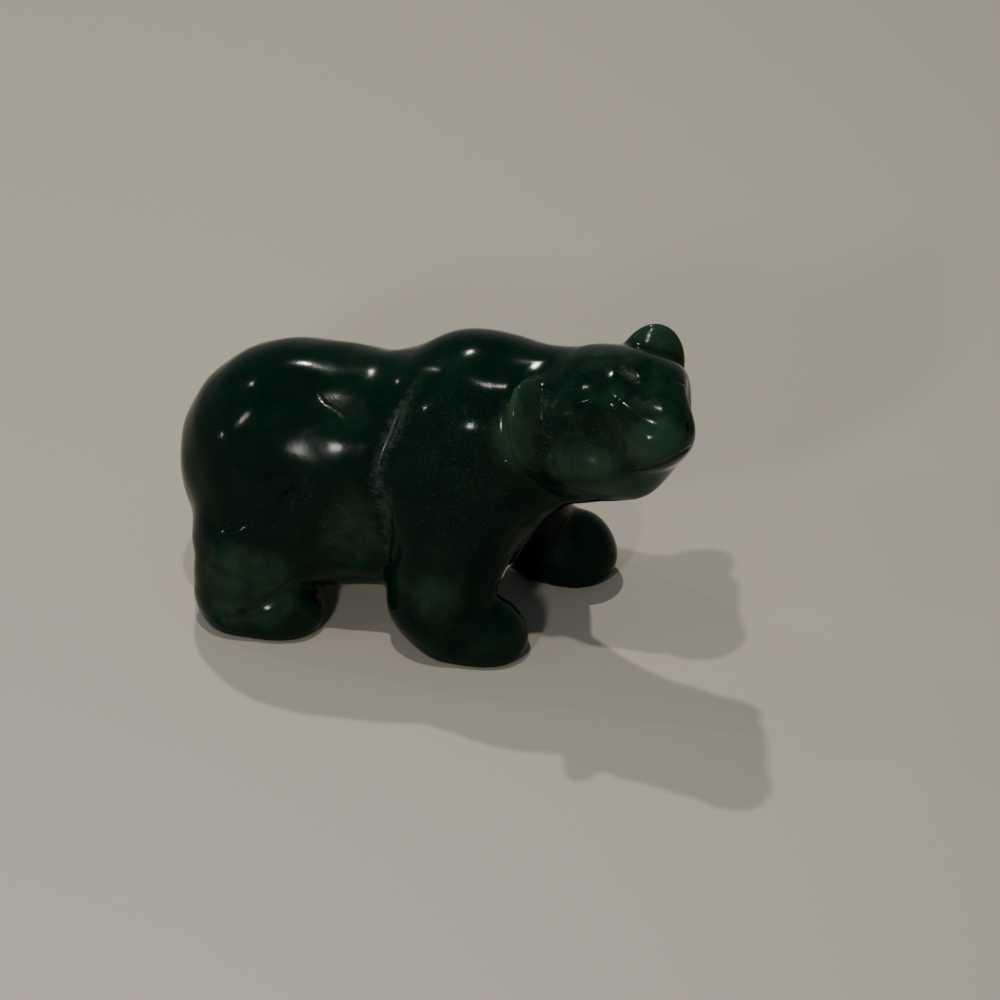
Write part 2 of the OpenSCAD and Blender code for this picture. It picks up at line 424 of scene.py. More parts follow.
    def clouds_and_glow(self) -> list[tuple[Lump, float]]:
        """Painted glow on the haunches, the flanks and the fore legs, as of light shining through the stone
        and bounced up from the floor.

        Returns:
            Each glow patch with its strength.
        """
        made = []
        for side in Side:
            y = side.value
            made += [
                (Lump(heart("barrel", (-12.8, 11.0 * y, -9.0)), (5.6, 4.0, 5.2)), 0.8),
                (Lump(heart("barrel", (-2.4, 11.0 * y, -2.4)), (3.6, 3.4, 5.6)), 0.6),
                (Lump(heart("barrel", (6.2, 11.4 * y, -7.6)), (3.2, 3.0, 4.4)), 0.45),
            ]
        return made

    @staticmethod
    def mirrored(route: tuple[Vec3, ...], side: Side) -> tuple[Vec3, ...]:
        """A route given from the barrel's middle on the right side, on either side of the bear."""
        return tuple(heart("barrel", (x, -y * side.value, z)) for x, y, z in route)


@dataclass
class Head:
    """Head, muzzle, lower jaw and ears, in a frame with +X to the nose, +Y to its left and +Z to its crown.

    It takes its place from the head's CAD node.
    """
    yaw: float = -48.0
    pitch: float = 12.0
    muzzle_blend: float = 2.6
    jaw_blend: float = 1.6
    near_ear_blend: float = 1.7
    far_ear_blend: float = 0.8
    nodes: tuple[str, ...] = ("head", "muzzle", "lower_jaw", "ear_right", "ear_left")
    origin: Vec3 = field(init=False)
    axes: Array = field(init=False)

    def __post_init__(self) -> None:
        """Takes the head's place from its CAD node."""
        self.origin = heart("head", (1.135, -0.16, 1.2))
        self.axes = turned(self.yaw, self.pitch)

    def local(self, at: Array) -> Array:
        """Points of the bear in the head's own frame."""
        return self.axes.T @ (at - column(self.origin))

    def masses(self, at: Array) -> dict[str, Array]:
        """Distances from the mass of each region of the head.

        Args:
            at: points of the bear, 3 by N.
        Returns:
            For each region, N distances, negative inside.
        """
        q = self.local(at)
        crown = Lump((-0.6, -0.2, 0.3), (7.2, 7.2, 5.6))
        cheeks = Lump((-0.4, -0.9, -3.0), (6.0, 6.9, 4.9))
        temple = Lump((-2.4, -6.4, -0.6), (3.4, 3.2, 4.8))
        jowl = Lump((-1.8, -6.3, -3.4), (3.4, 3.0, 3.2))
        snout = Lump((5.2, 0.0, -0.2), (4.4, 3.6, 2.9))
        far_cheek = Lump((2.0, 2.8, 0.1), (3.9, 3.5, 3.8))
        lips = Lump((4.7, -0.3, -1.5), (4.3, 4.0, 2.7))
        jaw = Lump((1.6, -0.6, -4.3), (4.3, 3.8, 2.1), (0.0, 24.0, 0.0))
        near_ear = Lump((-3.2, -9.1, 0.2), (1.4, 3.5, 4.7), (30.0, 0.0, 8.0))
        far_ear = Lump((-3.8, 5.6, 2.9), (1.4, 3.0, 3.5), (-30.0, 0.0, -15.0))
        far_ear_root = Lump((-3.4, 4.6, 1.8), (1.7, 3.4, 3.2), (-30.0, 0.0, 0.0))
        near = melt(melt(crown.away(q), cheeks.away(q), 2.5), temple.away(q), 2.0)
        return {
            "head": melt(melt(near, far_cheek.away(q), 2.0), jowl.away(q), 1.5),
            "muzzle": melt(snout.away(q), lips.away(q), 1.5),
            "lower_jaw": jaw.away(q),
            "ear_right": near_ear.away(q),
            "ear_left": melt(far_ear.away(q), far_ear_root.away(q), 1.2),
        }

    def join(self, mass: dict[str, Array]) -> Array:
        """One head from its masses.

        Args:
            mass: distances from each region's mass.
        Returns:
            Distances from the head.
        """
        skin = melt(mass["head"], mass["muzzle"], self.muzzle_blend)
        skin = melt(skin, mass["lower_jaw"], self.jaw_blend)
        skin = melt(skin, mass["ear_right"], self.near_ear_blend)
        return melt(skin, mass["ear_left"], self.far_ear_blend)

    def cuts(self) -> list[Cut]:
        """The carver's cuts on the head, in the head's own frame.

        Returns:
            The mouth, the snout's top and its ground patch, the nostrils, the snout's ridge, the frosted
            brow, the lens on the forehead, the groove before the near ear, and then on each side the eye and
            the hollow beside the muzzle.
        """
        mouth = ((6.2, -3.8, -3.65), (7.4, -2.7, -3.2), (8.6, -1.6, -2.7), (9.2, -0.4, -2.2),
                 (9.1, 0.8, -2.0), (8.7, 2.0, -2.0), (7.2, 3.2, -3.0))
        snout_top = Lump((7.4, 0.0, 4.9), (4.2, 3.2, 1.8), (0.0, -16.0, 0.0))
        patch = Lump((6.6, -1.2, 3.3), (2.0, 1.2, 0.8), (26.0, -23.0, 0.0))
        far_nostril = Lump((8.95, 1.85, 0.35), (0.6, 0.5, 0.5))
        near_nostril = Lump((9.75, -1.2, 0.8), (0.42, 0.36, 0.4))
        ridge = ((5.4, 1.6, 3.8), (6.8, 2.3, 2.6), (7.8, 2.7, 1.4))
        brow = Lump((-0.5, -4.5, 0.0), (7.0, 6.0, 6.0))
        lens = Lump((3.3, -0.8, 5.35), (2.2, 0.85, 1.0), (27.0, -26.0, 0.0))
        ear_groove = ((-2.0, -7.8, 3.2), (-1.4, -8.4, 0.6), (-1.2, -8.6, -2.6))
        made: list[Cut] = [
            Line(mouth, half_width=0.24, depth=0.34, profile=Profile.VEE),
            Dish(snout_top, blend=1.8),
            Dish(patch, blend=0.3, frost=0.75, fade=0.4),
            Dish(far_nostril, blend=0.32),
            Dish(near_nostril, blend=0.3),
            Line(ridge, half_width=0.25, depth=-0.02, frost=0.35),
            Dish(brow, blend=0.0, frost=0.14, fade=2.0),
            Dish(lens, blend=0.2, frost=0.95, fade=0.2),
            Line(ear_groove, half_width=1.2, depth=0.35, frost=0.5, frost_spread=2.0),
        ]
        for side in Side:
            y = side.value
            eye = ((4.2, 4.7 * y, 2.2), (4.6, 3.9 * y, 2.9), (4.7, 3.2 * y, 3.5), (4.3, 2.3 * y, 4.2))
            hollow = Lump((5.4, 7.4 * y, -0.5), (3.3, 3.2, 3.4))
            made += [
                Line(eye, half_width=0.22, depth=0.12, frost=0.4),
                Dish(hollow, blend=2.6, frost=0.45, fade=1.2),
            ]
        return made

    def clouds_and_glow(self) -> list[tuple[Lump, float]]:
        """Painted glow on the head, as of light shining through the stone and bounced up from the floor, in
        its own frame, each patch with its strength.
        """
        return [
            (Lump((2.4, -6.6, -3.2), (4.6, 3.6, 2.6)), 0.85),
            (Lump((8.4, -1.6, -0.8), (3.2, 3.6, 2.8)), 1.0),
            (Lump((-2.8, -11.2, 0.6), (2.2, 1.8, 4.8)), 1.5),
            (Lump((0.0, 0.0, 0.0), (9.0, 9.0, 8.0)), 0.42),
            (Lump((3.6, -1.6, -5.8), (6.0, 5.0, 2.2)), 1.15),
            (Lump((-3.8, 7.0, 4.4), (2.6, 3.6, 3.6)), 1.0),
            (Lump((3.0, 6.6, -2.4), (4.0, 3.0, 3.0)), 0.7),
        ]


@dataclass
class Limb:
    """One leg with its paw, from masses placed by the leg's CAD nodes."""
    side: Side
    end: End
    ankle_z: float = 5.4
    thigh_blend: float = 2.5
    blade_blend: float = 2.0
    toe_blend: float = 1.5
    ankle_blend: float = 1.2

    @property
    def leg(self) -> str:
        """Name of the leg's region."""
        return f"{self.end.value}_leg_{self.side.name.lower()}"

    @property
    def paw(self) -> str:
        """Name of the paw's region."""
        return f"{self.end.value}_paw_{self.side.name.lower()}"

    @property
    def nodes(self) -> tuple[str, ...]:
        """Both regions of the limb."""
        return self.leg, self.paw

    def out(self, node: str, x: float, y: float, z: float) -> Vec3:
        """A place from the middle of a node's box, with y outwards from the bear."""
        return heart(node, (x, y * self.side.value, z))

    def masses(self, at: Array) -> dict[str, Array]:
        """Distances from the leg and from the paw.

        Args:
            at: points, 3 by N.
        Returns:
            For each of the two regions, N distances, negative inside.
        """
        if self.end is End.HIND:
            thigh = Lump(self.out(self.leg, 0.71, -2.34, -0.81), (7.2, 5.7, 8.0))
            knee, ankle = self.out(self.leg, -1.19, -1.34, -3.61), self.out(self.leg, -1.69, -0.74, -7.11)
            shank = Bone(knee, ankle, 5.1, 4.7)
            foot = Bone(self.out(self.paw, -1.18, 0.27, 0.3), self.out(self.paw, 3.12, 0.17, -0.3), 4.1, 3.4)
            toes = Lump(self.out(self.paw, 1.92, 0.27, -0.9), (5.0, 3.8, 3.2))
            return {self.leg: melt(thigh.away(at), shank.away(at), self.thigh_blend),
                    self.paw: melt(foot.away(at), toes.away(at), self.toe_blend)}
        if self.side is Side.RIGHT:
            arm = Bone(self.out(self.leg, -1.1, -2.8, 4.4), self.out(self.leg, -0.8, -0.1, -7.0), 6.2, 5.4)
            blade = Lump(self.out(self.leg, 0.1, -1.6, 0.8), (6.2, 4.6, 8.0))
            foot = Bone(self.out(self.paw, -0.7, 0.3, 0.3), self.out(self.paw, 3.0, 0.3, -0.3), 4.3, 3.4)
            toes = Lump(self.out(self.paw, 2.0, 0.3, -1.1), (4.8, 3.9, 3.2))
            return {self.leg: melt(arm.away(at), blade.away(at), self.blade_blend),
                    self.paw: melt(foot.away(at), toes.away(at), self.toe_blend)}
        arm = Bone(self.out(self.leg, 0.0, -1.1, 0.4), self.out(self.leg, 2.6, 0.6, -7.6), 5.6, 4.1)
        foot = Bone(self.out(self.paw, 0.1, 0.2, 0.6), self.out(self.paw, 3.6, 0.8, 0.4), 3.8, 3.8)
        toes = Lump(self.out(self.paw, 3.4, 0.6, -0.8), (4.5, 3.9, 3.5))
        return {self.leg: arm.away(at), self.paw: melt(foot.away(at), toes.away(at), self.toe_blend)}

    def join(self, mass: dict[str, Array]) -> Array:
        """One limb from its leg and its paw."""
        return melt(mass[self.leg], mass[self.paw], self.ankle_blend)

    def claims(self, at: Array, mass: dict[str, Array]) -> dict[str, Array]:
        """The leg ends at the ankle, and the paw has what is below it.

        Args:
            at: points, 3 by N.
            mass: distances from the leg and from the paw.
        Returns:
            The claims of both regions to the points.
        """
        whole = np.minimum(mass[self.leg], mass[self.paw])
        return {self.leg: np.where(at[2] > self.ankle_z, whole, FAR),
                self.paw: np.where(at[2] > self.ankle_z, FAR, whole)}


@dataclass
class Carving:
    """The whole bear: its sub-assemblies joined in one field, and the regions that they claim."""
    trunk: Trunk
    head: Head
    limbs: tuple[Limb, ...]
    sole_edge: float = 0.5
    ripple_length: float = 9.0
    ripple_depth: float = 0.08
    limb_blend: float = 1.2
    head_blend: float = 1.5
    tail_blend: float = 1.4
    glow_fade: float = 2.0
    body_cuts: list[Cut] = field(init=False)
    face_cuts: list[Cut] = field(init=False)

    def __post_init__(self) -> None:
        """Works the cuts out once."""
        self.body_cuts = self.trunk.cuts()
        self.face_cuts = self.head.cuts()

    def names(self) -> list[str]:
        """Every region's name, in the order of the labels, which start at 1."""
        return [*self.trunk.nodes, *self.head.nodes, *(n for limb in self.limbs for n in limb.nodes)]

    def body(self, at: Array) -> tuple[Array, dict[str, Array]]:
        """The stone before the fine cuts, and each region's claim.

        Args:
            at: points, 3 by N.
        Returns:
            Distances from the skin, and the claims by region, of which the least wins a point.
        """
        trunk = self.trunk.masses(at)
        skin = self.trunk.join(at, trunk)
        claims = self.trunk.claims(at, trunk)
        for limb in self.limbs:
            mass = limb.masses(at)
            skin = melt(skin, limb.join(mass), self.limb_blend)
            claims.update(limb.claims(at, mass))
        head = self.head.masses(at)
        skin = melt(skin, self.head.join(head), self.head_blend)
        claims.update(head)
        skin = melt(skin, trunk["tail"], self.tail_blend)
        return skin, claims

    def finish_skin(self, at: Array, skin: Array) -> Array:
        """The skin after the fine cuts, with the soles ground flat at the height of the floor.

        Args:
            at: points, 3 by N.
            skin: their distances from the skin before, which are changed.
        Returns:
            Their distances from the finished skin.
        """
        for cut in self.body_cuts:
            cut.cut(at, skin)
        q = self.head.local(at)
        for cut in self.face_cuts:
            cut.cut(q, skin)
        skin += self.ripple(at)
        return pare(skin, -at[2], self.sole_edge)

    def ripple(self, at: Array) -> Array:
        """The hand's unevenness: a product of three sines of x, y and z, a ripple long and a ripple deep.

        Args:
            at: points, 3 by N.
        Returns:
            What is added to their distances.
        """
        x, y, z = at * np.float32(2.0 * math.pi / self.ripple_length)
        swell = np.sin(x + 0.6 * z + 0.7) * np.cos(0.8 * y - 0.5 * x + 0.4) * np.sin(0.9 * z + 0.3 * y + 1.9)
        return np.float32(self.ripple_depth) * swell

    def skin(self, at: Array) -> Array:
        """Distances from the finished skin."""
        return self.finish_skin(at, self.body(at)[0])

    def sample(self, at: Array) -> tuple[Array, Array]:
        """What the lattice holds at each point.

        Args:
            at: points, 3 by N.
        Returns:
            Distances from the skin, and the label of the region that each point is in, 0 outside the stone.
        """
        skin, claims = self.body(at)
        skin = self.finish_skin(at, skin)
        best = np.full(at.shape[1], FAR, np.float32)
        label = np.zeros(at.shape[1], np.uint8)
        for index, name in enumerate(self.names(), 1):
            nearer = claims[name] < best
            best[nearer] = claims[name][nearer]
            label[nearer] = index
        label[skin >= 0.0] = 0
        return skin, label

    def slope(self, at: Array) -> Array:
        """Gradient of the skin's distance by central differences.

        Args:
            at: points, 3 by N.
        Returns:
            The gradient, 3 by N.
        """
        step = np.float32(NORMAL_STEP)
        rows = []
        for axis in range(3):
            shift = np.zeros((3, 1), np.float32)
            shift[axis] = step
            rows.append((self.skin(at + shift) - self.skin(at - shift)) / (2 * step))
        return np.stack(rows)

    def pale(self, at: Array) -> Array:
        """How much painted glow each point gets, as of light shining through the stone and bounced up from the
        floor, from patches that fade out through their edges.

        Args:
            at: points, 3 by N.
        Returns:
            0 away from the glow patches, and a patch's strength well inside it.
        """
        pale = np.zeros(at.shape[1], np.float32)
        for places, points in ((self.trunk.clouds_and_glow(), at), (self.head.clouds_and_glow(), self.head.local(at))):
            # Each cloud here is a patch of painted glow, not a cloud in the stone.
            for cloud, strength in places:
                inside = 1.0 - ease(cloud.away(points), -self.glow_fade, self.glow_fade)
                pale = np.maximum(pale, strength * inside)
        return pale

    def frost(self, at: Array) -> Array:
        """How much each point of the skin was left ground and not polished.

        Args:
            at: points, 3 by N.
        Returns:
            From 0, polished, to 1, ground.
        """
        frost = np.zeros(at.shape[1], np.float32)
        for cut in self.body_cuts:
            cut.dust(at, frost)
        q = self.head.local(at)
        for cut in self.face_cuts:
            cut.dust(q, frost)
        return frost


# ---------------------------------------------------------------- from the field to closed pieces

@dataclass
class Lattice:
    """A grid of samples of the carving, and the surface nets that are drawn through it."""
    carving: Carving
    spacing: float
    margin: float = 1.5
    slab: int = 12
    least_slope: float = 0.05
    longest_step: float = 0.5
    low: Array = field(init=False)
    axes: list[Array] = field(init=False)
    value: Array = field(init=False)
    label: Array = field(init=False)
    index: Array = field(init=False)
    on_skin: Array = field(init=False)
    points: Array = field(init=False)
    normals: Array = field(init=False)
    skin_points: Array = field(init=False)

    def __post_init__(self) -> None:
        """Sets the grid's axes round the CAD box."""
        low, high = (np.array(v) / METRES for v in CAD_BOX)
        self.low = low - self.margin
        self.axes = [np.arange(a, b + self.spacing, self.spacing, dtype=np.float32)
                     for a, b in zip(self.low, high + self.margin)]

    def fill(self) -> None:
        """Samples the field and the labels a slab at a time."""
        shape = [len(a) for a in self.axes]
        self.value = np.empty(shape, np.float32)
        self.label = np.empty(shape, np.uint8)
        for start in range(0, shape[0], self.slab):
            part = slice(start, min(start + self.slab, shape[0]))
            grid = np.meshgrid(self.axes[0][part], self.axes[1], self.axes[2], indexing="ij")
            at = np.stack([g.ravel() for g in grid])
            value, label = self.carving.sample(at)
            self.value[part] = value.reshape(grid[0].shape)
            self.label[part] = label.reshape(grid[0].shape)

    @staticmethod
    def corner(array: Array, i: int, j: int, k: int) -> Array:
        """One of the eight corners of every cell, each of i, j and k being 0 or 1."""
        nx, ny, nz = array.shape
        return array[i:nx - 1 + i, j:ny - 1 + j, k:nz - 1 + k]

    def net(self) -> None:
        """One vertex in each cell whose corners differ in label, at the mean of the crossings on its edges.

        On the skin the crossings are where the field is 0, and inside the stone they are halfway along.
        """
        eight = [(i, j, k) for i in (0, 1) for j in (0, 1) for k in (0, 1)]
        first = self.corner(self.label, 0, 0, 0)
        mixed = np.zeros(first.shape, bool)
        for c in eight[1:]:
            mixed |= self.corner(self.label, *c) != first
        cells = np.argwhere(mixed)
        self.index = np.full(first.shape, -1, np.int32)
        self.index[mixed] = np.arange(len(cells), dtype=np.int32)
        value = {c: self.value[tuple((cells + c).T)] for c in eight}
        label = {c: self.label[tuple((cells + c).T)] for c in eight}
        self.on_skin = np.any([label[c] == 0 for c in eight], axis=0)
        total = np.zeros((len(cells), 3), np.float32)
        count = np.zeros(len(cells), np.float32)
        for a in eight:
            for axis in range(3):
                if a[axis]:
                    continue
                b = tuple(1 if n == axis else a[n] for n in range(3))
                differs = label[a] != label[b]
                through = (label[a] == 0) != (label[b] == 0)
                use = np.where(self.on_skin, through, differs)
                span = np.where(through, value[a] - value[b], 1.0).astype(float)
                t = np.where(through, value[a] / span, 0.5)
                point = np.tile(np.array(a, np.float32), (len(cells), 1))
                point[:, axis] = t
                total += point * use[:, None]
                count += use
        at = (cells + total / count[:, None]) * self.spacing + self.low
        self.points = at.astype(np.float32).T.copy()

    def settle(self, rounds: int = 2) -> None:
        """Moves the skin's vertices onto the field's zero, and takes their normals from its gradient.

        Args:
            rounds: how many Newton steps each vertex takes.
        """
        skin = np.flatnonzero(self.on_skin)
        at = self.points[:, skin]
        limit = self.longest_step * self.spacing
        for _ in range(rounds):
            slope = self.carving.slope(at)
            step = self.carving.skin(at) / np.maximum((slope * slope).sum(0), self.least_slope)
            at = at - np.clip(step, -limit, limit) * slope
        self.points[:, skin] = at
        slope = self.carving.slope(at)
        self.normals = np.zeros_like(self.points)
        self.normals[:, skin] = slope / np.maximum(np.sqrt((slope * slope).sum(0)), TINY)
        self.skin_points = skin

    def faces(self) -> tuple[Array, Array, Array]:
        """A quad across each grid edge whose ends differ in label, once for each end that is stone.

        Returns:
            The quads, the label of the region that owns each, and whether each is on the skin.
        """
        quads, owners, shown = [], [], []
        for axis in range(3):
            b, c = ((1, 2), (2, 0), (0, 1))[axis]
            low = [slice(1, -1)] * 3
            high = [slice(1, -1)] * 3
            low[axis], high[axis] = slice(0, -1), slice(1, None)
            before, after = self.label[tuple(low)], self.label[tuple(high)]
            edges = np.argwhere(before != after)
            offset = np.ones(3, int)
            offset[axis] = 0
            base = edges + offset
            one, two = np.eye(3, dtype=int)[[b, c]]
            ring = [self.index[tuple((base - back).T)] for back in (one + two, two, 0, one)]
            quad = np.stack(ring, 1)
            first, second = before[tuple(edges.T)], after[tuple(edges.T)]
            skin = (first == 0) | (second == 0)
            for owner, turn in ((first, 1), (second, -1)):
                stone = owner > 0
                quads.append(quad[stone][:, ::turn])
                owners.append(owner[stone])
                shown.append(skin[stone])
        return np.concatenate(quads), np.concatenate(owners), np.concatenate(shown)


# ---------------------------------------------------------------- shader maths

class Wire:
    """A socket of a shader tree that is added, subtracted and multiplied as a number."""

    def __init__(self, bench: "Bench", socket: bpy.types.NodeSocket) -> None:
        """Keeps the tree's bench and the socket."""
        self.bench = bench
        self.socket = socket

    def _maths(self, operation: str, first: "Term", second: "Term") -> "Wire":
        """A Math node's result."""
        node = self.bench.add("ShaderNodeMath", {"operation": operation}, {0: first, 1: second})
        return self.bench.wire(node)

    def __add__(self, other: "Term") -> "Wire":
        """self + other."""
        return self._maths("ADD", self, other)

    __radd__ = __add__

    def __sub__(self, other: "Term") -> "Wire":
        """self - other."""
        return self._maths("SUBTRACT", self, other)

    def __rsub__(self, other: "Term") -> "Wire":
        """other - self."""
        return self._maths("SUBTRACT", other, self)

    def __mul__(self, other: "Term") -> "Wire":
        """self times other."""
        return self._maths("MULTIPLY", self, other)

    __rmul__ = __mul__

    def between(self, low: float, high: float) -> "Wire":
        """0 at low, 1 at high, held beyond them and eased between them."""
        node = self.bench.add("ShaderNodeMapRange", {"interpolation_type": "SMOOTHSTEP"},
                              {"Value": self, "From Min": low, "From Max": high})
        return self.bench.wire(node, "Result")

    def most(self, other: "Term") -> "Wire":
        """The greater of self and other."""
        return self._maths("MAXIMUM", self, other)


Term = Union[Wire, float]
Colour = tuple[float, float, float, float]
Tint = Union[Colour, bpy.types.NodeSocket]


class Bench:
    """Adds nodes to the tree of one material or world."""

    def __init__(self, owner: Union[bpy.types.Material, bpy.types.World]) -> None:
        """Clears the owner's tree.

        Args:
            owner: the material or the world.
        """
        owner.use_nodes = True
        self.tree = owner.node_tree
        self.tree.nodes.clear()

    def add(self, kind: str, settings: Optional[dict] = None,
            inputs: Optional[dict] = None) -> bpy.types.Node:
        """Makes a node, sets its settings and fills its sockets.

        Args:
            kind: the node's type.
            settings: attributes of the node, set first.
            inputs: for each socket, by name or number, a value or what is linked to it.
        Returns:
            The node.
        """
        node = self.tree.nodes.new(kind)
        for name, value in (settings or {}).items():
            setattr(node, name, value)
        for name, value in (inputs or {}).items():
            self.fill(node.inputs[name], value)
        return node

    def fill(self, socket: bpy.types.NodeSocket, value: Union[Term, Tint, Vector]) -> None:
        """Links a socket to a wire or to another socket, or sets its value.

        Args:
            socket: what is filled.
            value: a wire, an output socket or a plain value.
        """
        if isinstance(value, Wire):
            value = value.socket
        if isinstance(value, bpy.types.NodeSocket):
            self.tree.links.new(value, socket)
        else:
            socket.default_value = value

    def wire(self, node: bpy.types.Node, output: Union[str, int] = 0) -> Wire:
        """A node's output as a number."""
        return Wire(self, node.outputs[output])

    def attribute(self, name: str) -> Wire:
        """What the mesh holds at each vertex under a name."""
        return self.wire(self.add("ShaderNodeAttribute", {"attribute_name": name}), "Fac")

    def noise(self, place: bpy.types.NodeSocket, scale: float, detail: float = 3.0, rough: float = 0.5,
              warp: float = 0.0) -> Wire:
        """Noise in the stone.

        Args:
            place: where the stone is looked at.
            scale: features for each metre.
            detail: how many finer layers are added.
            rough: how strong the finer layers are.
            warp: how far the noise is drawn about.
        Returns:
            The noise, about 0.5.
        """
        return self.wire(self.add("ShaderNodeTexNoise", {}, {
            "Vector": place, "Scale": scale, "Detail": detail, "Roughness": rough, "Distortion": warp}))

    def blend(self, factor: Term, first: Tint, second: Tint) -> bpy.types.NodeSocket:
        """A Mix of two colours.

        Args:
            factor: 0 for the first, 1 for the second, held between them.
            first: a colour.
            second: another.
        Returns:
            The mixed colour.
        """
        node = self.add("ShaderNodeMix", {"data_type": "RGBA", "clamp_factor": True})
        for socket, value in zip([s for s in node.inputs if s.enabled], (factor, first, second)):
            self.fill(socket, value)
        return next(s for s in node.outputs if s.enabled)


@dataclass(frozen=True)
class Nephrite:
    """Polished dark green nephrite, with ground recesses left dull. Scales are features for each metre."""
    name: str = "nephrite"
    deep: Colour = (0.0006, 0.0062, 0.0040, 1.0)
    body: Colour = (0.0014, 0.0100, 0.0056, 1.0)
    cloud: Colour = (0.0050, 0.0180, 0.0100, 1.0)
    # Colour of the painted glow, as of light shining through the stone and bounced up from the floor.
    glow: Colour = (0.0150, 0.0390, 0.0205, 1.0)
    dust: Colour = (0.040, 0.058, 0.048, 1.0)
    speck: Colour = (0.13, 0.16, 0.14, 1.0)
    polish: float = 0.12
    ground: float = 0.5
    ior: float = 1.27
    gloss: float = 0.2
    cloud_scale: float = 160.0
    mottle_scale: float = 420.0
    grain_scale: float = 1100.0
    fine_scale: float = 6500.0
    grain_strength: float = 0.25
    grain_height: float = 0.00006

    def make(self) -> bpy.types.Material:
        """Builds the material's nodes.

        Two greens are mottled together. Over them come wisps of cloud, then a painted glow, as of light
        shining through the stone and bounced up from the floor, in paler patches and at thin edges, then the
        dull dust of ground places, fine specks, and at last painted shade that darkens tight creases.

        Returns:
            The material.
        """
        material = bpy.data.materials.new(self.name)
        bench = Bench(material)
        place = bench.add("ShaderNodeTexCoord").outputs["Object"]
        frost, thin, hollow, pale = (bench.attribute(name) for name in ("frost", "thin", "hollow", "pale"))
        clouds_and_glow = bench.noise(place, self.cloud_scale, 4.0, 0.55, 0.6)
        mottle = bench.noise(place, self.mottle_scale, 5.0, 0.62, 0.4)
        grain = bench.noise(place, self.grain_scale, 3.0, 0.6)
        fine = bench.noise(place, self.fine_scale, 2.0, 0.6)
        colour = bench.blend((0.6 * clouds_and_glow + 0.4 * mottle).between(0.36, 0.62), self.deep, self.body)
        colour = bench.blend(clouds_and_glow.between(0.55, 0.78) * 0.6, colour, self.cloud)
        # Painted glow: light shining through the stone in the glow patches and at its thin edges, and bounced
        # up from the floor, broken up by the mottling.
        lit = (pale + 1.1 * (mottle - 0.5) + 0.7 * (clouds_and_glow - 0.5)).between(0.15, 1.25)
        lit = lit * pale.between(0.0, 0.5)
        lit = lit.most(thin.between(0.05, 1.1) * (0.35 + 0.7 * mottle))
        colour = bench.blend(lit, colour, self.glow)
        dull = (frost + 1.1 * (grain - 0.5) + 0.5 * (mottle - 0.5)).between(0.25, 0.9)
        dull = dull * frost.between(0.02, 0.25)
        colour = bench.blend(dull * 0.45, colour, self.dust)
        specks = fine.between(0.61, 0.70) * (0.08 + 0.8 * frost)
        colour = bench.blend(specks * 0.7, colour, self.speck)
        # Painted shade: tight creases are darkened towards the deepest green.
        colour = bench.blend(hollow * 0.7, colour, self.deep)
        rough = self.polish + 0.08 * clouds_and_glow.between(0.45, 0.75) + (self.ground - self.polish) * dull
        height = 0.5 * grain + 0.35 * fine * (0.2 + frost)
        bump = bench.add("ShaderNodeBump", {}, {
            "Strength": self.grain_strength, "Distance": self.grain_height, "Height": height})
        shader = bench.add("ShaderNodeBsdfPrincipled", {}, {
            "Base Color": colour, "Roughness": rough, "IOR": self.ior, "Normal": bump.outputs[0],
            "Specular IOR Level": self.gloss})
        bench.add("ShaderNodeOutputMaterial", {}, {"Surface": shader.outputs[0]})
        return material


# ---------------------------------------------------------------- building

THIN = ("muzzle", "lower_jaw", "ear_right", "ear_left", "tail", "fore_leg_right", "fore_leg_left",
        "hind_leg_right", "hind_leg_left")
SLOTS = dict.fromkeys(THIN, "jade_thin")


